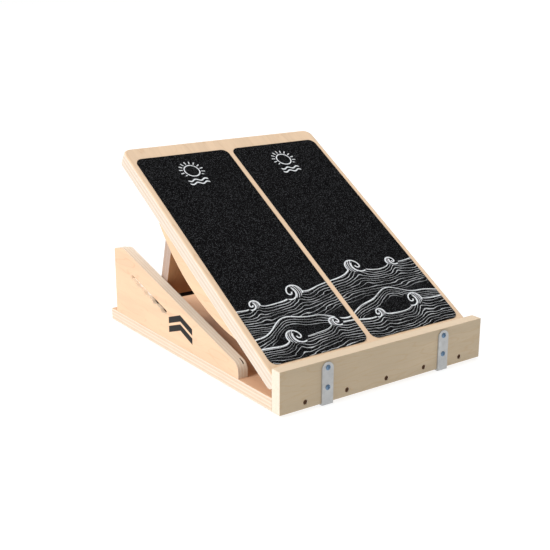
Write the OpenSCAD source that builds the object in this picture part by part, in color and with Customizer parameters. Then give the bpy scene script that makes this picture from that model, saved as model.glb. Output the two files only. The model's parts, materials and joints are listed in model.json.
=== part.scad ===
// Adjustable wooden slant board.
// A hinged standing deck is held up by a folding strut whose foot sits on a cross rod.
// The rod lies in notched slots in two wedge-shaped cheeks on the base.
// X runs along the front rail, Y from the rail to the back, Z up from the floor.

/* [Base] */
// Width of the base and of the front rail
board_w = 350; // [300:5:420]
// Depth from the rail's front face to the back edge of the base
base_depth = 450; // [430:5:520]
// Thickness of the base panel
base_t = 18; // [15:1:21]
// Thickness of the front rail
rail_t = 17; // [15:1:20]
// Height of the front rail
rail_h = 58; // [50:1:70]
// Height of the rubber feet
foot_h = 3; // [3:0.5:6]
// Diameter of the rubber feet
foot_d = 28; // [20:1:34]

/* [Cheeks] */
// Thickness of the two wedge-shaped cheeks
cheek_t = 15; // [12:1:16]
// Distance of a cheek's outer face from the side of the base
cheek_inset = 0.5; // [0.5:0.5:2]
// Distance from the rail's front face to the front end of a cheek
cheek_front = 92; // [85:1:100]
// Distance from the rail's front face to the back edge of a cheek
cheek_back = 432; // [425:1:440]
// Slope of a cheek's top edge in degrees
cheek_slope = 15.75; // [14:0.25:16]
// Height of the slope line above the base at the front end of a cheek
cheek_front_h = 19.5; // [16:0.5:21]
// Height of a cheek's peak above the base
cheek_peak_h = 107; // [104:0.5:108]

/* [Slots] */
// Slope of the slots in degrees
slot_slope = 16; // [15:0.5:17]
// Distance between two neighbouring notches
notch_pitch = 24.5; // [23:0.5:25]
// Depth of a notch below the slot's lower edge
notch_depth = 2.6; // [1.5:0.1:3]
// Diameter of the cross rod
rod_d = 6; // [5:0.5:6]
// Clearance of the rod in the slot on each side
rod_gap = 0.4; // [0.3:0.1:0.6]

/* [Deck] */
// Angle of the deck above the floor in degrees
deck_angle = 31; // [31:0.5:32]
// Width of the deck
deck_w = 345; // [340:1:345]
// Length of the deck's top face along the slope
deck_l = 447; // [440:1:450]
// Thickness of the deck panel
deck_t = 21; // [18:1:21]
// Corner radius at the deck's top end
deck_corner_r = 14; // [5:1:30]
// Thickness of the grip pads
pad_t = 1; // [0.8:0.1:2]
// Width of the bare strip between the two pads
pad_gap = 9; // [5:1:20]
// Bare margin beside the pads
pad_side = 9.5; // [5:0.5:20]
// Bare margin above the pads
pad_top = 26; // [10:1:40]
// Bare margin below the pads
pad_bottom = 17; // [5:1:25]
// Corner radius of the pads
pad_corner_r = 11; // [4:1:20]
// Thickness of the curved ribs under the deck's sides
rib_t = 12; // [10:1:12]
// Length of a rib along the deck
rib_l = 228; // [200:2:230]
// Greatest height of a rib
rib_h = 22; // [18:1:22]
// Distance from the deck's front hinge to a rib's middle
rib_mid = 203; // [198:1:206]

/* [Strut] */
// Thickness of the strut panel
strut_t = 18; // [15:1:18]
// Half width of the strut panel
strut_half_w = 157; // [150:1:157]
// Lean of the strut from the vertical in degrees, foot to the back
strut_lean = 15; // [14.5:0.5:15.5]
// Distance from the front hinge to the strut hinge
strut_hinge_at = 321; // [320.5:0.5:321.5]
// Outer diameter of the rubber collars on the rod
collar_d = 12; // [10:1:12]
// Length of a collar
collar_l = 11; // [6:1:12]

/* [Metal parts] */
// Width of a front bracket
bracket_w = 18; // [14:1:22]
// Thickness of a front bracket
bracket_t = 2; // [1.5:0.5:2]
// Height of a front bracket's top end above the base's underside
bracket_h = 55.5; // [50:0.5:57]
// Length of a bracket's foot under the base
bracket_leg = 46; // [40:1:60]
// Distance of each bracket from the middle
bracket_x = 101; // [95:1:120]
// Length of a butt hinge
hinge_l = 60; // [50:2:70]
// Width of one hinge leaf
leaf_w = 20; // [18:1:22]
// Thickness of a hinge leaf
leaf_t = 1.2; // [1:0.1:1.4]
// Outer diameter of a hinge knuckle
knuckle_d = 5.4; // [5:0.1:5.6]
// Diameter of a hinge pin
pin_d = 2.6; // [2.4:0.1:2.8]
// Distance of each butt hinge from the middle
hinge_x = 90; // [80:1:110]

/* [Hidden] */

$fn = 48;
eps = 0.01;
birch = [0.93, 0.80, 0.62];
pine = [0.90, 0.78, 0.60];
zinc = [0.66, 0.69, 0.72];
bronze = [0.30, 0.19, 0.12];
black = [0.08, 0.08, 0.09];

// Pan-head screws stand out of the brackets and set the front of the whole object
pan_head_h = 1.8;
pan_head_r = 3.6;
rail_face_y = (bracket_t + pan_head_h - base_depth) / 2;
base_top = foot_h + base_t;
rail_back_y = rail_face_y + rail_t;

// Front hinge axis, and the deck's own frame with its origin on that axis
hinge_off = 3;
pivot_y = rail_face_y + 24.5;
pivot_z = base_top + hinge_off;
deck_under = hinge_off;
deck_over = hinge_off + deck_t;
rail_gap = 0.4;
// Where the deck's top face meets the plane just behind the rail
deck_a0 = (rail_back_y + rail_gap - pivot_y + deck_over * sin(deck_angle)) / cos(deck_angle);
deck_a1 = deck_a0 + deck_l;
nose_r = 10;

// Strut hinge axis, in the deck's frame and in the room
strut_axis_y = pivot_y + strut_hinge_at * cos(deck_angle);
strut_axis_z = pivot_z + strut_hinge_at * sin(deck_angle);

// Cross rod at rest, in the strut's frame (down along the strut, forward from its axis)
rod_down = 117.6;
rod_forward = hinge_off + strut_t - 1.1;
rod_y = strut_axis_y + rod_down * sin(strut_lean) - rod_forward * cos(strut_lean);
rod_z = strut_axis_z - rod_down * cos(strut_lean) - rod_forward * sin(strut_lean);
rod_seat_gap = 0.5;
strut_end = rod_down + 5;
top_gap = 0.4;
collar_x = board_w / 2 - cheek_inset - cheek_t - 0.6;
rod_half_l = board_w / 2 - 4;

// Slot, measured along its own slope from the rod's rest position
slot_half_h = rod_d / 2 + rod_gap;
slot_front = -33;
slot_back = 68;
notch_r = 7;

// Screw sizes
csk_head_r = 3.4;
csk_head_h = 2.2;
shank_r = 1.7;
leaf_head_r = 2.6;
leaf_head_h = 1.2;
leaf_shank_r = 1.2;
leaf_screw_l = 13;
screw_gap = 0.1;
rail_screw_z = foot_h + base_t / 2;
rail_screw_pitch = 67.5;
rail_screw_sink = 1;
cheek_screw_y = [cheek_front + 36, (cheek_front + cheek_back) / 2, cheek_back - 32];
foot_x = board_w / 2 - 26;
foot_y = [rail_back_y + 34, rail_face_y + base_depth - 30];
bracket_screw_z = [foot_h + 21.5, foot_h + 48.3];
bracket_foot_screw_y = [rail_face_y + rail_t / 2, rail_face_y + bracket_leg - 12];
leaf_screw_x = [-hinge_l / 2 + 9, 0, hinge_l / 2 - 9];
cheek_x = board_w / 2 - cheek_inset - cheek_t / 2;
rib_x = deck_w / 2 - rib_t / 2;

// Helpers

// Puts its children on the deck: X across, Y up the slope, Z out of the top face
module on_deck() {
    translate([0, pivot_y, pivot_z])
        rotate([deck_angle, 0, 0])
            children();
}

// Puts its children on the strut: X across, Y forward from the axis, Z up along the strut
module on_strut() {
    translate([0, strut_axis_y, strut_axis_z])
        rotate([strut_lean, 0, 0])
            mirror([0, 1, 0])
                children();
}

// Extrudes an outline drawn in Y and Z along X, centred on x
module along_x(x, width) {
    translate([x - width / 2, 0, 0])
        rotate([90, 0, 90])
            linear_extrude(width)
                children();
}

module on_both_sides() {
    for (side = [-1, 1])
        mirror([side < 0 ? 1 : 0, 0, 0])
            children();
}

// Cross recess in a screw head whose top is at z
module cross_recess(z, size) {
    for (turn = [0, 90])
        rotate(turn)
            translate([-size / 2, -size / 8, z - size / 4])
                cube([size, size / 4, size / 2]);
}

// Countersunk screw pointing down, its flat head flush with z = 0
module csk_screw(length, head_r, head_h, shank) {
    difference() {
        union() {
            translate([0, 0, -head_h])
                cylinder(h = head_h, r1 = shank, r2 = head_r);
            translate([0, 0, -length])
                cylinder(h = length - head_h + eps, r = shank);
        }
        cross_recess(0, head_r * 1.1);
    }
}

// Clearance for a countersunk screw in a plate of the given thickness
module csk_hole(depth, head_r, head_h, shank) {
    translate([0, 0, -head_h - screw_gap])
        cylinder(h = head_h + screw_gap, r1 = shank + screw_gap, r2 = head_r + screw_gap);
    translate([0, 0, -depth])
        cylinder(h = depth, r = shank + screw_gap);
    cylinder(h = 1, r = head_r + screw_gap);
}

// Pan-head screw pointing down, its head standing on z = 0
module pan_screw(length) {
    difference() {
        union() {
            rotate_extrude()
                intersection() {
                    translate([0, pan_head_h - 6.2])
                        circle(r = 6.2);
                    square([pan_head_r, pan_head_h]);
                }
            translate([0, 0, -length])
                cylinder(h = length + eps, r = shank_r);
        }
        cross_recess(pan_head_h, pan_head_r * 1.1);
    }
}

// One leaf of a butt hinge: axis on X at the origin, plate hinge_off below it, towards +Y
module hinge_leaf(has_middle) {
    third = hinge_l / 3;
    knuckle_gap = 0.15;
    spans = has_middle
        ? [[-third / 2 + knuckle_gap, third / 2 - knuckle_gap]]
        : [[-hinge_l / 2, -third / 2 - knuckle_gap], [third / 2 + knuckle_gap, hinge_l / 2]];
    bore_gap = has_middle ? 0.08 : 0.02;
    difference() {
        union() {
            translate([-hinge_l / 2, knuckle_d / 2 + 0.4, -hinge_off])
                cube([hinge_l, leaf_w - knuckle_d / 2 - 0.4, leaf_t]);
            for (span = spans) {
                translate([span[0], 0, -hinge_off])
                    cube([span[1] - span[0], knuckle_d / 2 + 0.5, leaf_t]);
                translate([span[0], 0, 0])
                    rotate([0, 90, 0])
                        cylinder(h = span[1] - span[0], d = knuckle_d);
            }
        }
        translate([-hinge_l, 0, 0])
            rotate([0, 90, 0])
                cylinder(h = 2 * hinge_l, r = pin_d / 2 + bore_gap);
        for (x = leaf_screw_x)
            translate([x, leaf_w * 0.62, leaf_t - hinge_off])
                csk_hole(2 * leaf_t, leaf_head_r, leaf_head_h, leaf_shank_r);
    }
}

module hinge_pin() {
    head = 0.8;
    rotate([0, 90, 0]) {
        translate([0, 0, -hinge_l / 2 - head])
            cylinder(h = hinge_l + 2 * head, d = pin_d);
        for (z = [-hinge_l / 2 - head - 0.1, hinge_l / 2 + 0.1])
            translate([0, 0, z])
                cylinder(h = head, d = pin_d + 1.4);
    }
}

module leaf_screws() {
    for (x = leaf_screw_x)
        translate([x, leaf_w * 0.62, leaf_t - hinge_off])
            csk_screw(leaf_screw_l, leaf_head_r, leaf_head_h, leaf_shank_r);
}

// The four places where a hinge leaf sits

module at_front_base(x) {
    translate([x, pivot_y, pivot_z])
        children();
}

module at_front_deck(x) {
    on_deck()
        translate([x, 0, 0])
            mirror([0, 0, 1])
                children();
}

module at_strut_deck(x) {
    on_deck()
        translate([x, strut_hinge_at, 0])
            mirror([0, 0, 1])
                children();
}

module at_strut_back(x) {
    on_strut()
        translate([x, 0, 0])
            rotate([-90, 0, 0])
                mirror([0, 0, 1])
                    children();
}

// Wooden parts of the base

module base_panel() {
    color(birch)
        translate([-board_w / 2, rail_back_y, foot_h])
            cube([board_w, base_depth - rail_t, base_t]);
}

module at_rail_screws() {
    for (i = [-2:2])
        translate([i * rail_screw_pitch, rail_face_y + rail_screw_sink, rail_screw_z])
            rotate([90, 0, 0])
                children();
}

module front_rail() {
    color(pine)
        difference() {
            translate([-board_w / 2, rail_face_y, foot_h])
                cube([board_w, rail_t, rail_h]);
            at_rail_screws()
                csk_hole(rail_t, csk_head_r, csk_head_h, shank_r);
        }
}

// Slot outline around the rod's rest position, with its notches along the lower edge
module slot_outline() {
    rotate(slot_slope) {
        translate([slot_front, -slot_half_h])
            square([slot_back - slot_front, 2 * slot_half_h]);
        for (x = [slot_front, slot_back])
            translate([x, 0])
                circle(r = slot_half_h);
        for (i = [-1:2])
            intersection() {
                translate([i * notch_pitch, notch_r - slot_half_h - notch_depth])
                    circle(r = notch_r);
                translate([i * notch_pitch - notch_r, -2 * notch_r])
                    square([2 * notch_r, 2 * notch_r]);
            }
    }
}

// Wedge outline in Y and Z, with a rounded front end and a rounded peak
module cheek_outline() {
    front_r = 14;
    peak_r = 12;
    back_r = 3;
    back_drop = 5;
    y0 = rail_face_y + cheek_front;
    y1 = rail_face_y + cheek_back;
    top = base_top + cheek_peak_h;
    front_z = base_top + cheek_front_h + front_r * (tan(cheek_slope) - 1 / cos(cheek_slope));
    peak_y = y0 + (cheek_peak_h - cheek_front_h - peak_r + peak_r / cos(cheek_slope)) / tan(cheek_slope);
    intersection() {
        hull() {
            translate([y0, base_top])
                square([y1 - y0, 1]);
            translate([y0 + front_r, front_z])
                circle(r = front_r, $fn = 32);
            translate([peak_y, top - peak_r])
                circle(r = peak_r, $fn = 32);
            translate([y1 - back_r, top - back_r - back_drop])
                circle(r = back_r, $fn = 32);
        }
        translate([y0, base_top])
            square([y1 - y0, cheek_peak_h]);
    }
}

module cheek() {
    color(birch)
        along_x(cheek_x, cheek_t)
            difference() {
                cheek_outline();
                translate([rod_y, rod_z])
                    slot_outline();
            }
}

module cheek_right() {
    cheek();
}

module cheek_left() {
    mirror([1, 0, 0])
        cheek();
}

// Metal brackets and rubber feet

module bracket() {
    color(zinc)
        difference() {
            union() {
                translate([bracket_x - bracket_w / 2, rail_face_y - bracket_t, foot_h - bracket_t])
                    cube([bracket_w, bracket_t, bracket_h + bracket_t - bracket_w / 2]);
                translate([bracket_x, rail_face_y, foot_h + bracket_h - bracket_w / 2])
                    rotate([90, 0, 0])
                        cylinder(h = bracket_t, d = bracket_w);
                translate([bracket_x - bracket_w / 2, rail_face_y - bracket_t, foot_h - bracket_t])
                    cube([bracket_w, bracket_leg, bracket_t]);
            }
            for (z = bracket_screw_z)
                translate([bracket_x, rail_face_y + 1, z])
                    rotate([90, 0, 0])
                        cylinder(h = bracket_t + 2, r = shank_r + screw_gap);
            for (y = bracket_foot_screw_y)
                translate([bracket_x, y, foot_h - bracket_t])
                    rotate([180, 0, 0])
                        csk_hole(2 * bracket_t, csk_head_r, bracket_t - 0.4, shank_r);
        }
}

module bracket_right() {
    bracket();
}

module bracket_left() {
    mirror([1, 0, 0])
        bracket();
}

module rubber_feet() {
    color(black)
        on_both_sides()
            for (y = foot_y)
                translate([foot_x, y, 0])
                    cylinder(h = foot_h, d = foot_d);
}

// Screws of the base

module rail_screws() {
    color(bronze)
        at_rail_screws()
            csk_screw(32, csk_head_r, csk_head_h, shank_r);
}

module bracket_screws() {
    color(zinc)
        on_both_sides()
            for (z = bracket_screw_z)
                translate([bracket_x, rail_face_y - bracket_t, z])
                    rotate([90, 0, 0])
                        pan_screw(15);
}

module bracket_foot_screws() {
    color(zinc)
        on_both_sides()
            for (y = bracket_foot_screw_y)
                translate([bracket_x, y, foot_h - bracket_t])
                    rotate([180, 0, 0])
                        csk_screw(14, csk_head_r, bracket_t - 0.4, shank_r);
}

module cheek_screws() {
    color(zinc)
        on_both_sides()
            for (y = cheek_screw_y)
                translate([cheek_x, rail_face_y + y, foot_h])
                    rotate([180, 0, 0])
                        csk_screw(36, csk_head_r, csk_head_h, shank_r);
}

// Deck and what is fixed to it

// Side outline of the deck, cut parallel to the rail at the front, with a rounded nose below
module deck_side_outline() {
    run = deck_t * tan(deck_angle);
    nose_a = deck_a0 - run + nose_r * tan(45 + deck_angle / 2);
    top_r = 2;
    top_a = deck_a0 + top_r * tan(45 - deck_angle / 2);
    polygon([
        for (turn = [90 : 15 : 180 - deck_angle])
            [top_a + top_r * cos(turn), deck_over - top_r + top_r * sin(turn)],
        for (turn = [180 - deck_angle : 12 : 270])
            [nose_a + nose_r * cos(turn), deck_under + nose_r + nose_r * sin(turn)],
        [deck_a1, deck_under],
        [deck_a1, deck_over]
    ]);
}

module deck_plan() {
    translate([-deck_w / 2, -nose_r * 2])
        square([deck_w, deck_a1 - deck_corner_r + nose_r * 2]);
    translate([-deck_w / 2 + deck_corner_r, 0])
        square([deck_w - 2 * deck_corner_r, deck_a1]);
    for (x = [-deck_w / 2 + deck_corner_r, deck_w / 2 - deck_corner_r])
        translate([x, deck_a1 - deck_corner_r])
            circle(r = deck_corner_r);
}

module deck_panel() {
    color(birch)
        on_deck()
            intersection() {
                along_x(0, deck_w)
                    deck_side_outline();
                linear_extrude(2 * deck_over)
                    deck_plan();
            }
}

// Curved rib: a circle segment under the side of the deck
module side_rib() {
    rib_r = (rib_l * rib_l / 4 + rib_h * rib_h) / (2 * rib_h);
    color(birch)
        on_deck()
            along_x(rib_x, rib_t)
                intersection() {
                    translate([rib_mid, deck_under - rib_h + rib_r])
                        circle(r = rib_r, $fn = 180);
                    translate([rib_mid - rib_l, deck_under - rib_l])
                        square([2 * rib_l, rib_l]);
                }
}

module side_rib_right() {
    side_rib();
}

module side_rib_left() {
    mirror([1, 0, 0])
        side_rib();
}

module grip_pad(side) {
    pad_w = (deck_w - pad_gap) / 2 - pad_side;
    pad_l = deck_l - pad_top - pad_bottom;
    color(black)
        on_deck()
            translate([side * (pad_gap + pad_w) / 2, deck_a0 + pad_bottom + pad_l / 2, deck_over])
                linear_extrude(pad_t) {
                    square([pad_w - 2 * pad_corner_r, pad_l], center = true);
                    square([pad_w, pad_l - 2 * pad_corner_r], center = true);
                    for (x = [-1, 1])
                        for (y = [-1, 1])
                            translate([x * (pad_w / 2 - pad_corner_r), y * (pad_l / 2 - pad_corner_r)])
                                circle(r = pad_corner_r);
                }
}

module grip_pad_left() {
    grip_pad(-1);
}

module grip_pad_right() {
    grip_pad(1);
}

// Strut and rod

// Side outline of the strut: bevelled top end, and a seat for the rod at the foot
module strut_side_outline() {
    back = hinge_off;
    front = hinge_off + strut_t;
    bevel = deck_angle - strut_lean;
    seat_r = rod_d / 2 + rod_seat_gap;
    top_at_axis = (hinge_off - top_gap) / cos(bevel);
    difference() {
        polygon([
            [back, top_at_axis - back * tan(bevel)],
            [front, top_at_axis - front * tan(bevel)],
            [front, -strut_end],
            [back, -strut_end]
        ]);
        translate([rod_forward, -rod_down])
            circle(r = seat_r);
        translate([rod_forward - seat_r, -rod_down - 2 * strut_t])
            square([2 * strut_t, 2 * strut_t]);
        translate([rod_forward, -rod_down - strut_t])
            square([strut_t, strut_t + seat_r]);
    }
}

module strut_panel() {
    cut_h = collar_d + 6;
    cut_x = collar_x - collar_l - 1;
    color(birch)
        on_strut()
            difference() {
                along_x(0, 2 * strut_half_w)
                    strut_side_outline();
                on_both_sides()
                    translate([cut_x, 0, -strut_end - 1])
                        cube([2 * strut_half_w, 2 * strut_t, cut_h]);
            }
}

module cross_rod() {
    color(black)
        translate([-rod_half_l, rod_y, rod_z])
            rotate([0, 90, 0])
                cylinder(h = 2 * rod_half_l, d = rod_d);
}

module rod_collar() {
    color(black)
        translate([collar_x - collar_l, rod_y, rod_z])
            rotate([0, 90, 0])
                difference() {
                    cylinder(h = collar_l, d = collar_d);
                    translate([0, 0, -1])
                        cylinder(h = collar_l + 2, d = rod_d);
                }
}

module rod_collar_right() {
    rod_collar();
}

module rod_collar_left() {
    mirror([1, 0, 0])
        rod_collar();
}

// Butt hinges and their screws

module front_hinge_left_base_leaf() {
    color(zinc)
        at_front_base(-hinge_x)
            hinge_leaf(false);
}

module front_hinge_right_base_leaf() {
    color(zinc)
        at_front_base(hinge_x)
            hinge_leaf(false);
}

module front_hinge_left_deck_leaf() {
    color(zinc)
        at_front_deck(-hinge_x)
            hinge_leaf(true);
}

module front_hinge_right_deck_leaf() {
    color(zinc)
        at_front_deck(hinge_x)
            hinge_leaf(true);
}

module front_hinge_left_pin() {
    color(zinc)
        at_front_base(-hinge_x)
            hinge_pin();
}

module front_hinge_right_pin() {
    color(zinc)
        at_front_base(hinge_x)
            hinge_pin();
}

module front_hinge_base_screws() {
    color(zinc)
        for (x = [-hinge_x, hinge_x])
            at_front_base(x)
                leaf_screws();
}

module front_hinge_deck_screws() {
    color(zinc)
        for (x = [-hinge_x, hinge_x])
            at_front_deck(x)
                leaf_screws();
}

module strut_hinge_left_deck_leaf() {
    color(zinc)
        at_strut_deck(-hinge_x)
            hinge_leaf(false);
}

module strut_hinge_right_deck_leaf() {
    color(zinc)
        at_strut_deck(hinge_x)
            hinge_leaf(false);
}

module strut_hinge_left_strut_leaf() {
    color(zinc)
        at_strut_back(-hinge_x)
            hinge_leaf(true);
}

module strut_hinge_right_strut_leaf() {
    color(zinc)
        at_strut_back(hinge_x)
            hinge_leaf(true);
}

module strut_hinge_left_pin() {
    color(zinc)
        at_strut_deck(-hinge_x)
            hinge_pin();
}

module strut_hinge_right_pin() {
    color(zinc)
        at_strut_deck(hinge_x)
            hinge_pin();
}

module strut_hinge_deck_screws() {
    color(zinc)
        for (x = [-hinge_x, hinge_x])
            at_strut_deck(x)
                leaf_screws();
}

module strut_hinge_strut_screws() {
    color(zinc)
        for (x = [-hinge_x, hinge_x])
            at_strut_back(x)
                leaf_screws();
}

base_panel();
front_rail();
cheek_left();
cheek_right();
bracket_left();
bracket_right();
rubber_feet();
rail_screws();
bracket_screws();
bracket_foot_screws();
cheek_screws();
front_hinge_left_base_leaf();
front_hinge_right_base_leaf();
front_hinge_left_pin();
front_hinge_right_pin();
front_hinge_base_screws();
deck_panel();
side_rib_left();
side_rib_right();
grip_pad_left();
grip_pad_right();
front_hinge_left_deck_leaf();
front_hinge_right_deck_leaf();
front_hinge_deck_screws();
strut_hinge_left_deck_leaf();
strut_hinge_right_deck_leaf();
strut_hinge_left_pin();
strut_hinge_right_pin();
strut_hinge_deck_screws();
strut_panel();
strut_hinge_left_strut_leaf();
strut_hinge_right_strut_leaf();
strut_hinge_strut_screws();
cross_rod();
rod_collar_left();
rod_collar_right();
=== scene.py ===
import json
import math

import bpy
from mathutils import Matrix, Vector


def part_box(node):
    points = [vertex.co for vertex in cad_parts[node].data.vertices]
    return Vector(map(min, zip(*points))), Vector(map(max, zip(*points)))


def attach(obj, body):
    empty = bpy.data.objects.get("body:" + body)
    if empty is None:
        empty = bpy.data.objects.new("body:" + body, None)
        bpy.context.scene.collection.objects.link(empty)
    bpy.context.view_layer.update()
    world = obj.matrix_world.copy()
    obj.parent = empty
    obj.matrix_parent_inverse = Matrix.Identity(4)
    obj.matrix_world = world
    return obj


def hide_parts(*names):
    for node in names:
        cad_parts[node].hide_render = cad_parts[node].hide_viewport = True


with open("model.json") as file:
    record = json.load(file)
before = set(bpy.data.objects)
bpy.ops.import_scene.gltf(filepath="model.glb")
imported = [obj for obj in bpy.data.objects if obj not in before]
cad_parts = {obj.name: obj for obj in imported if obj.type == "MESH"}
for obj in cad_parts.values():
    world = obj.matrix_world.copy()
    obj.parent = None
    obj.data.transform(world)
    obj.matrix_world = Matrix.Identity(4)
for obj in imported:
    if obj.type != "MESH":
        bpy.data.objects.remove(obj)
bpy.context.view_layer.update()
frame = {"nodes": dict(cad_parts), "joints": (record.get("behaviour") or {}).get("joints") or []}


# Birch plywood of the base, cheeks, deck, ribs and strut: thin veneers glued crosswise,
# clear lacquered. Faces show one pale rotary-cut veneer, and every cut edge shows the stack
# of light and dark plies with thin glue lines between them.
class Value:
    """A shader socket that takes part in sums like a number."""

    def __init__(self, tree, socket):
        self.tree = tree
        self.socket = socket

    def node(self, kind, settings=None, inputs=None, output=0):
        made = self.tree.nodes.new("ShaderNode" + kind)
        for key, setting in (settings or {}).items():
            setattr(made, key, setting)
        for key, given in (inputs or {}).items():
            if isinstance(given, Value):
                self.tree.links.new(given.socket, made.inputs[key])
            else:
                made.inputs[key].default_value = given
        return Value(self.tree, made.outputs[output])

    def maths(self, operation, *operands):
        return self.node("Math", {"operation": operation}, dict(enumerate(operands)))

    def __add__(self, other):
        return self.maths("ADD", self, other)

    def __radd__(self, other):
        return self.maths("ADD", other, self)

    def __sub__(self, other):
        return self.maths("SUBTRACT", self, other)

    def __rsub__(self, other):
        return self.maths("SUBTRACT", other, self)

    def __mul__(self, other):
        return self.maths("MULTIPLY", self, other)

    def __rmul__(self, other):
        return self.maths("MULTIPLY", other, self)

    def __truediv__(self, other):
        return self.maths("DIVIDE", self, other)

    def __rtruediv__(self, other):
        return self.maths("DIVIDE", other, self)

    def __abs__(self):
        return self.maths("ABSOLUTE", self)

    def __pow__(self, other):
        return self.maths("POWER", self, other)

    def fract(self):
        return self.maths("FRACT", self)

    def floor(self):
        return self.maths("FLOOR", self)

    def sin(self):
        return self.maths("SINE", self)

    def high(self, other):
        return self.maths("MAXIMUM", self, other)

    def ramp_between(self, start, end, low=0.0, high=1.0):
        return self.node(
            "MapRange",
            {"interpolation_type": "SMOOTHSTEP"},
            {"Value": self, "From Min": start, "From Max": end, "To Min": low, "To Max": high},
        )

    def inside(self, start, end, soft):
        return self.ramp_between(start - soft, start + soft) * self.ramp_between(end + soft, end - soft)


def paint(red, green, blue):
    """A linear colour from the 0-255 numbers of a paint chart."""
    shares = [c / 255 for c in (red, green, blue)]
    return tuple(s / 12.92 if s <= 0.04045 else ((s + 0.055) / 1.055) ** 2.4 for s in shares) + (1.0,)


def new_finish(name):
    """An empty material: its shader, and its position and normal in the object's frame."""
    material = bpy.data.materials.new(name)
    material.use_nodes = True
    tree = material.node_tree
    shader = tree.nodes["Principled BSDF"]
    start = Value(tree, None)
    place = start.node("TexCoord", output="Object")
    facing = start.node("TexCoord", output="Normal")
    return material, shader, place, facing


def connect(shader, socket, value):
    value.tree.links.new(value.socket, shader.inputs[socket])


def parts_of(vector):
    return [vector.node("SeparateXYZ", inputs={0: vector}, output=axis) for axis in "XYZ"]


def joined(x, y, z):
    wrapped = next(part for part in (x, y, z) if isinstance(part, Value))
    return wrapped.node("CombineXYZ", inputs=dict(enumerate((x, y, z))))


def mixed(amount, first, second):
    """Colours mixed by amount; either may be a Value or a plain colour."""
    return amount.node("Mix", {"data_type": "RGBA"}, {0: amount, 6: first, 7: second}, output=2)


def shaded(tone, *shares):
    """A tone with each of its three numbers multiplied by its own share."""
    return tuple(c * share for c, share in zip(tone, shares))


def noise(at, scale, detail=3.0, rough=0.5, output=0):
    return at.node(
        "TexNoise",
        inputs={"Vector": at, "Scale": scale, "Detail": detail, "Roughness": rough},
        output=output,
    )


def bumped(height, strength, distance):
    return height.node("Bump", inputs={"Strength": strength, "Distance": distance, "Height": height})


def turned(x, y, z, lean, pivot):
    """Position measured in a frame that leans by an angle about X at pivot (y, z)."""
    c, s = math.cos(lean), math.sin(lean)
    dy, dz = y - pivot[0], z - pivot[1]
    return x, dy * c + dz * s, dz * c - dy * s


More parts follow.
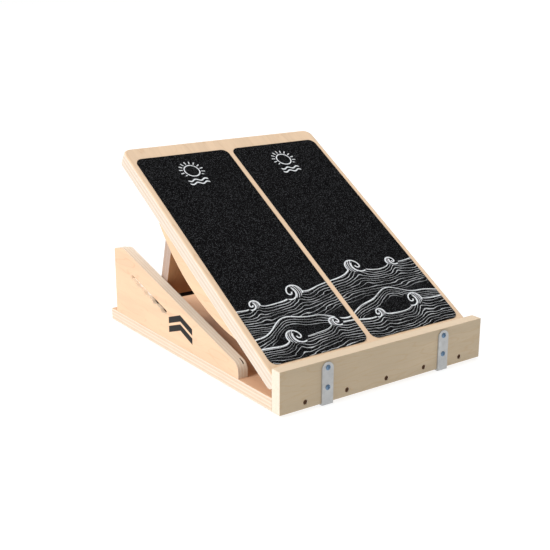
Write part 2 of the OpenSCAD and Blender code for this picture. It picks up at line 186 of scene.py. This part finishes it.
def plywood(name, across, along, thickness, face_tone, edge_tone, plies, seed,
            lean=0.0, pivot=(0.0, 0.0), slot=None, front=None):
    """across and along are the axes through the plies and along the face grain, in a leaning frame.

    slot is the outer face's X, then the Y, Z and lean of a slot's middle line. front is the Y of
    the front end of the board that carries the badge.
    """
    material, shader, place, facing = new_finish(name)
    local = turned(*parts_of(place), lean, pivot)
    normal = turned(*parts_of(facing), lean, (0.0, 0.0))
    depth = local[across] / thickness
    is_face = abs(normal[across]).ramp_between(0.55, 0.8)
    side = [i for i in range(3) if i not in (across, along)][0]

    # Face veneer: long soft figure, fine pores and a few darker growth lines
    grain = joined(local[along] * 1.6, local[side] * 14.0 + seed, seed)
    figure = noise(grain, 5.0, 4.0, 0.55)
    rings = noise(joined(local[along] * 0.9, local[side] * 5.0 + seed, seed), 6.0, 2.0, 0.5)
    lines = (rings * 9.0 + figure * 1.2).fract()
    line = lines.inside(0.42, 0.5, 0.07) * 0.55
    pores = noise(joined(local[along] * 18.0, local[side] * 420.0, seed), 3.0, 2.0, 0.6)
    deep = shaded(face_tone, 0.93, 0.86, 0.78)
    pale = tuple(min(255, c * 1.04) for c in face_tone)
    face = mixed(figure.ramp_between(0.35, 0.68), paint(*pale), paint(*face_tone))
    face = mixed(line * figure.ramp_between(0.3, 0.7), face, paint(*deep))
    face = mixed(pores.ramp_between(0.6, 0.78) * 0.28, face, paint(*deep))

    # Cut edge: alternate long-grain and end-grain plies, with a thin glue line at each joint
    drift = noise(joined(local[along] * 5.0, local[side] * 5.0, seed), 4.0, 2.0, 0.5) - 0.5
    layer = (depth + drift * 0.03) * plies
    cell = layer.floor()
    shade = ((cell * 12.9898 + seed).sin() * 43758.5453).fract()
    end_grain = (cell * 0.5).fract() * 2.0
    speck = noise(joined(local[along] * 60.0, local[side] * 60.0, layer * 2.0), 14.0, 3.0, 0.7)
    streak = noise(joined(local[along] * 14.0, local[side] * 14.0, layer * 1.7), 3.0, 5.0, 0.72)
    cream = paint(*edge_tone)
    tan = paint(*shaded(edge_tone, 0.93, 0.86, 0.78))
    dark = paint(*shaded(edge_tone, 0.68, 0.53, 0.42))
    edge = mixed(end_grain * (0.15 + shade * 0.45), cream, tan)
    edge = mixed(streak.ramp_between(0.5, 0.72) * 0.5, edge, tan)
    edge = mixed(speck.ramp_between(0.52, 0.76) * end_grain * 0.3, edge, dark)
    joint_width = drift.ramp_between(-0.2, 0.2, 0.05, 0.12)
    glue = 1.0 - abs((layer + 0.5).fract() - 0.5).ramp_between(0.02, joint_width)
    glue = glue * streak.ramp_between(0.35, 0.6, 0.35, 1.0)
    edge = mixed(glue * 0.30, edge, dark)
    void = streak.ramp_between(0.74, 0.80) * end_grain
    edge = mixed(void * 0.7, edge, dark)
    if slot:
        # The slot's walls are painted light: pale as if lit from above, and deeper in a band of painted shade
        # near the front end with a painted bright strip beyond it
        outer, slot_y, slot_z, slot_lean = slot
        _, run, rise = turned(0.0, local[along], local[side], slot_lean, (slot_y, slot_z))
        wall = run.inside(-0.045, 0.080, 0.001) * rise.inside(-0.012, 0.012, 0.001)
        inward = (outer - abs(local[across])) / thickness
        painted_shade_and_light = mixed(run.ramp_between(0.010, 0.020), paint(62, 40, 26), paint(255, 250, 245))
        cut = mixed(streak.ramp_between(0.4, 0.7), paint(246, 226, 202), paint(232, 204, 176))
        edge = mixed(wall, edge, mixed(inward.ramp_between(0.28, 0.42), cut, painted_shade_and_light))
    if front is not None:
        # One inner ply has an open void in the rounded front end
        gap = local[across].inside(-0.1646, -0.1630, 0.0003) * local[side].inside(0.0390, 0.0450, 0.0008)
        edge = mixed(gap * (local[along] - front).ramp_between(0.014, 0.011), edge, paint(46, 28, 16))
        # A plain dark badge of two chevrons is printed on the outer face
        badge_y, badge_z = 0.0150, 0.0500
        bu, bv = local[along] - badge_y, local[side] - badge_z
        peak = bv + abs(bu) * 0.36
        shape = abs(bu).ramp_between(0.0325, 0.0318)
        arms = peak.inside(-0.0050, 0.0045, 0.0004).high(peak.inside(0.0085, 0.0180, 0.0004))
        face = mixed(arms * shape * normal[across].ramp_between(-0.5, -0.8), face, paint(4, 4, 4))
    connect(shader, "Base Color", mixed(is_face, edge, face))
    connect(shader, "Roughness", is_face.ramp_between(0.0, 1.0, 0.62, 0.44) + pores * 0.08)
    height = pores * 0.25 * is_face + (speck * 0.5 - glue * 0.8) * (1.0 - is_face)
    connect(shader, "Normal", bumped(height, 0.25, 0.0004))
    shader.inputs["Specular IOR Level"].default_value = 0.2
    return material


# Base panel: one flat sheet of plywood, with the rail screwed to its front edge and four feet
# below. Its side and back edges are sanded soft and lacquered, and show the plies.
def select_only(obj):
    if bpy.context.object and bpy.context.object.mode == "EDIT":
        bpy.ops.object.mode_set(mode="OBJECT")
    bpy.ops.object.select_all(action="DESELECT")
    obj.select_set(True)
    bpy.context.view_layer.objects.active = obj


def pick_edges(obj, test):
    """Goes into edit mode with the edges selected whose two ends pass the test."""
    select_only(obj)
    bpy.ops.object.mode_set(mode="EDIT")
    bpy.ops.mesh.select_mode(type="EDGE")
    bpy.ops.mesh.select_all(action="DESELECT")
    bpy.ops.object.mode_set(mode="OBJECT")
    for edge in obj.data.edges:
        a, b = (obj.data.vertices[i].co for i in edge.vertices)
        edge.select = bool(test(a, b))
    bpy.ops.object.mode_set(mode="EDIT")


def done(obj, body, material, node, smooth):
    """Puts a piece's place into its mesh, gives it its finish and its body, and hides the frame part it
    stands for.
    """
    bpy.ops.object.mode_set(mode="OBJECT")
    select_only(obj)
    bpy.ops.object.transform_apply(location=True, rotation=True, scale=True)
    bpy.ops.object.mode_set(mode="EDIT")
    bpy.ops.mesh.select_all(action="SELECT")
    bpy.ops.mesh.remove_doubles(threshold=0.000001)
    bpy.ops.mesh.normals_make_consistent(inside=False)
    bpy.ops.object.mode_set(mode="OBJECT")
    bpy.ops.object.shade_smooth_by_angle(angle=math.radians(smooth))
    bpy.ops.object.modifier_add(type="WEIGHTED_NORMAL")
    obj.modifiers[-1].keep_sharp = True
    bpy.ops.object.modifier_apply(modifier=obj.modifiers[-1].name)
    obj.data.materials.clear()
    obj.data.materials.append(material)
    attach(obj, body)
    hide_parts(node)


def sanded(node, body, material):
    """A sawn board with its long sharp edges sanded soft, standing for a frame part."""
    soft_edge, shortest = 0.0008, 0.002
    board = bpy.data.objects.new(node + "_sanded", frame["nodes"][node].data.copy())
    bpy.context.collection.objects.link(board)
    select_only(board)
    bpy.ops.object.mode_set(mode="EDIT")
    bpy.ops.mesh.select_all(action="SELECT")
    bpy.ops.mesh.remove_doubles(threshold=0.000005)
    bpy.ops.mesh.dissolve_limited(angle_limit=math.radians(0.5))
    bpy.ops.mesh.select_all(action="DESELECT")
    bpy.ops.mesh.select_mode(type="EDGE")
    bpy.ops.mesh.edges_select_sharp(sharpness=math.radians(50))
    bpy.ops.object.mode_set(mode="OBJECT")
    for edge in board.data.edges:
        a, b = (board.data.vertices[i].co for i in edge.vertices)
        edge.select = edge.select and (a - b).length > shortest
    bpy.ops.object.mode_set(mode="EDIT")
    bpy.ops.mesh.bevel(offset=soft_edge, segments=3, affect="EDGES", clamp_overlap=True)
    done(board, body, material, node, smooth=40)


base_lo, base_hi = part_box("base_panel")
# Its tones are a little darker than the cheeks', partly painted shade from under the deck
base_ply_with_painted_shade = plywood("base plywood", across=2, along=1, thickness=base_hi[2] - base_lo[2],
                   face_tone=(213, 172, 139), edge_tone=(226, 209, 190), plies=7, seed=1.3,
                   pivot=(0.0, base_lo[2]))
sanded("base_panel", "base_frame", base_ply_with_painted_shade)


# Cheeks: two wedges cut from plywood sheet, glued and screwed to the base from below.
# Their notched slots are routed right through, and the left cheek carries a printed badge.
rod_lo, rod_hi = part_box("cross_rod")
cheek_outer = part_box("cheek_right")[1][0]
cheek_slot = (cheek_outer, (rod_lo[1] + rod_hi[1]) / 2, (rod_lo[2] + rod_hi[2]) / 2, math.radians(16))
for side, name in ((-1, "cheek_left"), (1, "cheek_right")):
    lo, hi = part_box(name)
    cheek_ply = plywood(name + " plywood", across=0, along=1, thickness=hi[0] - lo[0],
                        face_tone=(224, 187, 155), edge_tone=(234, 222, 206), plies=7,
                        seed=2.0 + side, slot=cheek_slot, front=lo[1] if side < 0 else None)
    sanded(name, "base_frame", cheek_ply)


# Deck: the board that is stood on, hinged behind the rail. Its long edges are rounded over,
# its top corners are rounded, and its front end is cut upright to close against the rail.
joints = {joint["name"]: joint for joint in frame["joints"]}
tilt_at = Vector(joints["deck_tilt"]["pos_m"])
deck_lean = math.radians(31)
deck_under, deck_over = 0.003, 0.024
deck_nose = 0.00614
deck_end = deck_nose + 0.447
deck_half = 0.1725
corner_round, nose_round = 0.014, 0.0175
over_round, under_round = 0.0032, 0.0018


def block(name, lo, hi, lean, about):
    """A box with corners lo and hi, in a frame that leans about X at a point."""
    bpy.ops.object.select_all(action="DESELECT")
    bpy.ops.mesh.primitive_cube_add(size=1.0)
    obj = bpy.context.object
    obj.name = name
    obj.scale = [h - l for l, h in zip(lo, hi)]
    obj.location = [(h + l) / 2 for l, h in zip(lo, hi)]
    bpy.ops.object.transform_apply(location=True, rotation=True, scale=True)
    obj.location = about
    obj.rotation_euler = (lean, 0.0, 0.0)
    return obj


underside = (tilt_at.y - math.sin(deck_lean) * deck_under, tilt_at.z + math.cos(deck_lean) * deck_under)
deck_ply = plywood("deck plywood", across=2, along=1, thickness=deck_over - deck_under,
                   face_tone=(221, 193, 163), edge_tone=(224, 212, 198), plies=7, seed=4.1,
                   lean=deck_lean, pivot=underside)

deck = block("deck_board", (-deck_half, -0.02, deck_under), (deck_half, deck_end, deck_over),
             deck_lean, tilt_at)
# the front end is cut upright, parallel to the rail
pick_edges(deck, lambda a, b: True)
bpy.ops.mesh.select_all(action="SELECT")
cut_at = tilt_at + Vector((0.0, deck_nose * math.cos(deck_lean) - deck_over * math.sin(deck_lean), 0.0))
bpy.ops.mesh.bisect(plane_co=cut_at, plane_no=(0.0, -1.0, 0.0), use_fill=True, clear_outer=True)
# the two top corners are rounded, then the nose under the front end
pick_edges(deck, lambda a, b: min(a.y, b.y) > deck_end - 0.0001 and abs(a.x - b.x) < 0.0001)
bpy.ops.mesh.bevel(offset=corner_round, segments=8, affect="EDGES")
pick_edges(deck, lambda a, b: max(a.y, b.y) < 0.0 and max(a.z, b.z) < deck_under + 0.0001)
bpy.ops.mesh.bevel(offset=nose_round, segments=8, affect="EDGES")
# the top and bottom edges are rounded over, all but the ones along the rail
for level, size in ((deck_over, over_round), (deck_under, under_round)):
    pick_edges(deck, lambda a, b: max(abs(a.z - level), abs(b.z - level)) < 0.0001
               and not (abs(a.x - b.x) > 0.3 and min(a.y, b.y) < 0.1))
    bpy.ops.mesh.bevel(offset=size, segments=4, affect="EDGES")
done(deck, "deck", deck_ply, "deck_panel", smooth=35)


# Side ribs: curved plywood stiffeners glued under the deck's sides, flush with them. They
# hang above the cheeks' sloping edges, and clear them when the deck is down.
for side, name in ((-1, "side_rib_left"), (1, "side_rib_right")):
    lo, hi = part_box(name)
    rib_ply = plywood(name + " plywood", across=0, along=1, thickness=hi[0] - lo[0],
                      face_tone=(222, 188, 154), edge_tone=(232, 216, 196), plies=5, seed=5.0 + side)
    sanded(name, "deck", rib_ply)


# Strut: the plywood panel that props the deck up. It hangs from two butt hinges, and its foot
# is rebated to sit over the cross rod.
strut_lean = math.radians(15)
swing_at = Vector(joints["strut_swing"]["pos_m"])
strut_t, strut_back = 0.018, 0.021
# Its face and edge tones are darker and browner than the other plywood's, partly the wood's own tone and
# partly painted shade from under the deck
strut_ply_with_painted_shade = plywood("strut plywood", across=1, along=2, thickness=strut_t,
                    face_tone=(201, 151, 110), edge_tone=(184, 162, 149), plies=5, seed=6.4,
                    lean=strut_lean, pivot=(swing_at.y - strut_back * math.cos(strut_lean),
                                            swing_at.z - strut_back * math.sin(strut_lean)))
sanded("strut_panel", "strut", strut_ply_with_painted_shade)


# Front rail: one strip of solid pale wood, planed, with eased edges. It closes the front,
# stops the deck and carries the brackets.
def planed_wood(tone, seed):
    material, shader, place, facing = new_finish("rail wood")
    x, y, z = parts_of(place)
    nx, _, nz = parts_of(facing)
    is_end = abs(nx).ramp_between(0.55, 0.8)
    long_way = joined(x * 1.4, y * 9.0 + z * 13.0 + seed, y * 6.0)
    figure = noise(long_way, 6.0, 5.0, 0.6)
    rings = noise(joined(x * 0.8, z * 6.0 + y * 4.0 + seed, seed), 7.0, 2.0, 0.5)
    line = (rings * 8.0 + figure).fract().inside(0.4, 0.5, 0.08)
    pores = noise(joined(x * 16.0, z * 400.0, y * 400.0), 3.0, 2.0, 0.6)
    deep = paint(*shaded(tone, 0.90, 0.83, 0.73))
    face = mixed(figure.ramp_between(0.32, 0.7), paint(*tone), paint(*shaded(tone, 0.96, 0.96, 0.96)))
    cloud = noise(joined(x * 7.0, z * 16.0 + seed, y * 16.0), 2.0, 4.0, 0.6)
    face = mixed(cloud.ramp_between(0.38, 0.72) * 0.55, face, paint(*shaded(tone, 0.88, 0.88, 0.88)))
    shade = noise(joined(x * 1.1 + seed, z * 3.0, y * 3.0), 3.0, 2.0, 0.5)
    face = mixed(shade.ramp_between(0.40, 0.62) * 0.7, face, paint(*shaded(tone, 0.92, 0.92, 0.92)))
    smudge = noise(joined(x * 10.0, z * 90.0 + seed, y * 90.0), 2.0, 4.0, 0.7)
    face = mixed(smudge.ramp_between(0.55, 0.8) * 0.45, face, deep)
    face = mixed(line * 0.35, face, deep)
    face = mixed(pores.ramp_between(0.56, 0.75) * 0.35, face, deep)
    arcs = noise(joined(0.0, y * 40.0, z * 12.0 + seed), 4.0, 2.0, 0.5)
    end = mixed((arcs * 10.0).fract().inside(0.4, 0.6, 0.15) * 0.4, paint(230, 216, 198), paint(*tone))
    # The top face is painted lighter and pinker, a painted highlight from the light above
    painted_lit_top = nz.ramp_between(0.6, 0.8)
    face = mixed(painted_lit_top * 0.7, face, paint(226, 204, 178))
    connect(shader, "Base Color", mixed(is_end, face, end))
    connect(shader, "Roughness", figure.ramp_between(0.3, 0.7, 0.42, 0.54))
    connect(shader, "Normal", bumped(pores * 0.5 + line * 0.4, 0.2, 0.0003))
    shader.inputs["Specular IOR Level"].default_value = 0.35
    return material


rail_wood = planed_wood((206, 186, 156), 3.7)
sanded("front_rail", "base_frame", rail_wood)


# Grip pads: coarse black grit on a self-adhesive sheet, one for each foot, with a line
# drawing of rolling water printed in white along the lower end.
def wear(node, material):
    """Gives a frame part its finish."""
    part = frame["nodes"][node]
    part.data.materials.clear()
    part.data.materials.append(material)


def swell(at):
    return at.sin() if isinstance(at, Value) else math.sin(at)


def stroke(distance, fine, bold):
    """A drawn line: full within fine of its middle, and gone by bold."""
    return 1.0 - abs(distance).ramp_between(fine, bold)


def crest_height(u, band):
    """How high up the sheet a band's edge runs, before its curls lift it."""
    height, slope, roll, length, phase = band
    turn = u * (2 * math.pi / length) + phase
    return u * slope + height + swell(turn) * roll + swell(turn * 2.7 + phase) * (roll * 0.25)


def curl(ink, u, v, cx, cy, size, way):
    """Draws a breaking crest over the ink: a lip that rolls over forwards above a hollow face."""
    du, dv = (u - cx) * (way / size), (v - cy) / size
    out = (du * du + dv * dv) ** 0.5
    fu = du - 0.92
    face = (fu * fu + dv * dv) ** 0.5
    tu, tv = du - 0.70, dv - 0.02
    hook = (tu * tu + tv * tv) ** 0.5
    fine, bold = 0.0007 / size, 0.0013 / size
    lip = stroke(out - 1.0, fine, bold) * (dv - du * 0.2).ramp_between(-0.26, -0.18)
    hollow = stroke(face - 1.0, fine, bold) * du.ramp_between(1.5, 1.2) * dv.ramp_between(0.62, 0.50)
    end = stroke(hook - 0.30, fine, bold) * dv.ramp_between(0.10, 0.02)
    strands = stroke(((face - 1.0) / 0.27).fract() - 0.5, 0.10, 0.30) * 0.8
    strands = strands * out.ramp_between(0.97, 0.90) * face.ramp_between(1.05, 1.12)
    below = face.ramp_between(1.02, 0.98) * dv.ramp_between(-1.02, -0.95)
    cleared = ink * (1.0 - out.ramp_between(1.02, 0.98).high(below))
    return cleared.high(lip).high(hollow).high(end).high(strands)


def grit_sheet(middle):
    """u runs across the deck and v up it, from the pads' lower ends; middle is a pad's centre line."""
    material, shader, place, _ = new_finish("printed grit sheet")
    u, v, w = turned(*parts_of(place), deck_lean, (tilt_at.y, tilt_at.z))
    pad_start = deck_nose + 0.017
    v = v - pad_start
    at = joined(u, v, w)
    cells = at.node("TexVoronoi", {"feature": "F1"}, {"Vector": at, "Scale": 1150.0}, output="Distance")
    tint = at.node("TexVoronoi", {"feature": "F1"}, {"Vector": at, "Scale": 1150.0}, output="Color")
    chance = parts_of(tint)[0]
    coarse = noise(at, 300.0, 3.0, 0.6)
    black = mixed(coarse.ramp_between(0.35, 0.7), paint(1, 1, 2), paint(12, 12, 13))
    # Scattered grains are painted pale grey as painted glints, and are also made less rough
    painted_glint = chance.ramp_between(0.62, 0.98) * (1.0 - cells.ramp_between(0.3, 0.6))
    black = mixed(painted_glint * 0.6, black, paint(112, 114, 118))

    # Each band of water has a rolling edge (height, slope, roll, length and phase), the gap
    # between its thin lines, its depth, and its curls (place, size and way they face)
    wobble = noise(joined(u * 9.0, v * 22.0, 0.0), 1.6, 3.0, 0.55) - 0.5
    bands = (
        ((0.108, 0.110, 0.0050, 0.21, 0.9), 0.0043, 0.052,
         ((-0.132, 0.0075, -1), (-0.062, 0.0120, -1), (0.056, 0.0120, 1), (0.124, 0.0075, 1))),
        ((0.060, 0.050, 0.0120, 0.172, 5.0), 0.0040, 0.020, ()),
        ((0.034, 0.040, 0.0045, 0.19, 2.4), 0.0042, 0.070,
         ((-0.108, 0.0110, 1), (-0.036, 0.0075, 1), (0.044, 0.0070, -1), (0.116, 0.0110, -1))),
    )
    ink = None
    for band, gap, depth, curls in bands:
        level = crest_height(u, band) - v
        lift = 0.0
        for cx, size, way in curls:
            off = (u - cx) / (size * 2.0)
            lift = lift + (off * off + 1.0) ** -3.0 * size
        below = level + lift * level.ramp_between(0.042, -0.006)
        follow = below + wobble * 0.009 * below.ramp_between(0.0, 0.02)
        stripes = (follow / gap + wobble * 2.2).fract()
        width = noise(joined(u * 30.0, v * 60.0, 4.0), 1.0, 2.0).ramp_between(0.35, 0.68, 0.05, 0.155)
        thin = stroke(stripes - 0.5, width * 0.3, width)
        body = below.ramp_between(0.0, 0.0015) * below.ramp_between(depth, depth * 0.7)
        bold = noise(joined(u * 14.0, v * 14.0, 9.0), 1.0, 2.0).ramp_between(0.35, 0.65, 0.0006, 0.0014)
        edge = stroke(below - 0.0007, bold * 0.5, bold)
        part = (thin * body * 0.75).high(edge)
        over = below.ramp_between(-0.0004, 0.0)
        ink = part if ink is None else (ink * (1.0 - over)).high(part)
        for cx, size, way in curls:
            ink = curl(ink, u, v, cx, crest_height(cx, band) + size * 0.85, size, way)

    # A small printed sun over two ripples near the top of each sheet
    for cx in (-middle, middle):
        du, dv = u - cx + 0.002, v - 0.366
        far = (du * du + dv * dv) ** 0.5
        ring = stroke(far - 0.0120, 0.0006, 0.0012)
        turn = dv.maths("ARCTAN2", dv, du) * (16 / (2 * math.pi))
        rays = stroke(turn.fract() - 0.5, 0.08, 0.16) * far.inside(0.0148, 0.0205, 0.0003)
        ring = ring.high(rays * dv.ramp_between(-0.0105, -0.0095))
        ripple = dv + 0.024 + (du * 380.0).sin() * 0.0018
        ripples = stroke((ripple / 0.0070).fract() - 0.5, 0.12, 0.24) * ripple.inside(-0.0070, 0.0070, 0.0003)
        ripples = ripples * abs(du).ramp_between(0.0170, 0.0162)
        ink = ink.high(ring).high(ripples)
    worn = noise(at, 900.0, 2.0, 0.7).ramp_between(0.34, 0.5)
    ink = ink * (0.4 + worn * 0.6)
    connect(shader, "Base Color", mixed(ink, black, paint(236, 239, 242)))
    connect(shader, "Roughness", 0.92 - ink * 0.12 - painted_glint * 0.3)
    connect(shader, "Normal", bumped(coarse - cells, 0.8, 0.0005))
    shader.inputs["Specular IOR Level"].default_value = 0.06
    return material


pad_lo, pad_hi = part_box("grip_pad_left")
grit = grit_sheet(middle=(abs(pad_lo[0]) + abs(pad_hi[0])) / 2)
for name in ("grip_pad_left", "grip_pad_right"):
    wear(name, grit)


# Brackets, butt hinges and their screws: pressed and turned steel, zinc-plated to a satin
# with a faint spangle. The brackets' screws are blue zinc, and the rail's are dark bronze.
def plated_steel(name, tone, rough):
    material, shader, place, _ = new_finish(name)
    x, y, z = parts_of(place)
    spangle = place.node("TexVoronoi", {"feature": "F1"}, {"Vector": place, "Scale": 160.0}, output="Color")
    shade = parts_of(spangle)[0]
    cloud = noise(place, 60.0, 4.0, 0.6)
    scratch = noise(joined(x * 900.0, y * 900.0, z * 40.0), 1.0, 2.0, 0.5)
    dull = paint(*shaded(tone, 0.86, 0.86, 0.86))
    connect(shader, "Base Color", mixed(shade * 0.35 + cloud * 0.4, paint(*tone), dull))
    connect(shader, "Roughness", cloud.ramp_between(0.3, 0.7, rough - 0.08, rough + 0.1) + scratch * 0.05)
    connect(shader, "Normal", bumped(scratch + cloud * 2.0, 0.12, 0.0002))
    shader.inputs["Metallic"].default_value = 0.65
    return material


zinc = plated_steel("zinc plated steel", (190, 191, 191), 0.42)
blue_zinc = plated_steel("blue zinc screws", (112, 140, 168), 0.30)
dark_steel = plated_steel("dark bronze steel", (96, 66, 44), 0.45)
for name in frame["nodes"]:
    if name in ("bracket_screws", "bracket_foot_screws"):
        wear(name, blue_zinc)
    elif name.startswith(("bracket_", "front_hinge_", "strut_hinge_")) or name == "cheek_screws":
        wear(name, zinc)
wear("rail_screws", dark_steel)


# Cross rod, collars and feet: a round steel bar with a black oxide finish, two rubber collars
# pushed onto it that keep it centred between the cheeks, and four stick-on rubber feet.
def black_finish(name, tone, rough, metal):
    material, shader, place, _ = new_finish(name)
    cloud = noise(place, 180.0, 4.0, 0.6)
    fine = noise(place, 1500.0, 2.0, 0.6)
    worn = paint(*shaded(tone, 1.5, 1.5, 1.5))
    connect(shader, "Base Color", mixed(cloud.ramp_between(0.3, 0.7), paint(*tone), worn))
    connect(shader, "Roughness", cloud.ramp_between(0.3, 0.7, rough, rough + 0.12))
    connect(shader, "Normal", bumped(fine, 0.15, 0.0002))
    shader.inputs["Metallic"].default_value = metal
    return material


wear("cross_rod", black_finish("black oxide steel", (15, 15, 16), 0.5, 0.3))
rubber = black_finish("black rubber", (26, 26, 27), 0.7, 0.0)
for name in ("rod_collar_left", "rod_collar_right", "rubber_feet"):
    wear(name, rubber)


# Floor and light: a plain white sheet under the object, a white surround, and two soft suns
# of studio light, the key from the left and a weaker one from above.
bpy.ops.object.select_all(action="DESELECT")
bpy.ops.mesh.primitive_plane_add(size=30.0)
floor = bpy.context.object
floor.name = "floor"
floor.location.z = -0.0004
floor_paint, floor_shader, _, _ = new_finish("white floor")
floor_shader.inputs["Base Color"].default_value = (0.30, 0.30, 0.30, 1.0)
floor_shader.inputs["Roughness"].default_value = 1.0
floor_shader.inputs["Specular IOR Level"].default_value = 0.0
floor_shader.inputs["Emission Color"].default_value = (1.0, 1.0, 1.0, 1.0)
floor_shader.inputs["Emission Strength"].default_value = 0.80
floor.data.materials.append(floor_paint)

world = bpy.data.worlds.new("studio")
bpy.context.scene.world = world
world.use_nodes = True
surround = world.node_tree.nodes["Background"]
surround.inputs["Color"].default_value = (1.0, 1.0, 1.0, 1.0)
# the surround is plain white to look at, and lights the object softly
soft_light = 0.38
seen = Value(world.node_tree, None).node("LightPath", output="Is Camera Ray")
connect(surround, "Strength", seen * (1.0 - soft_light) + soft_light)


def soft_sun(name, coming_from, power, spread):
    lamp = bpy.data.lights.new(name, "SUN")
    lamp.angle = math.radians(spread)
    lamp.energy = power
    holder = bpy.data.objects.new(name, lamp)
    holder.rotation_euler = Vector(coming_from).to_track_quat("Z", "Y").to_euler()
    bpy.context.collection.objects.link(holder)


soft_sun("key", (-0.78, 0.05, 0.62), 2.5, 25)
soft_sun("top", (0.1, 0.25, 1.0), 1.1, 40)


# Camera: stands in front and to the left, higher than the deck's top edge, and looks down at
# the middle of the object.
camera_data = bpy.data.cameras.new("camera")
camera_data.sensor_width = 36.0
camera_data.lens = 66.34
camera_data.clip_start = 0.01
camera = bpy.data.objects.new("camera", camera_data)
look = Vector((0.5583, 0.7783, -0.2875)).normalized()
right = look.cross(Vector((0.0, 0.0, 1.0))).normalized()
axes = Matrix((right, right.cross(look), -look)).transposed().to_4x4()
roll = Matrix.Rotation(math.radians(0.107), 4, "Z")
camera.matrix_world = Matrix.Translation((-0.8475, -1.1506, 0.5289)) @ axes @ roll
bpy.context.collection.objects.link(camera)
bpy.context.scene.camera = camera
bpy.context.scene.view_settings.view_transform = "Standard"
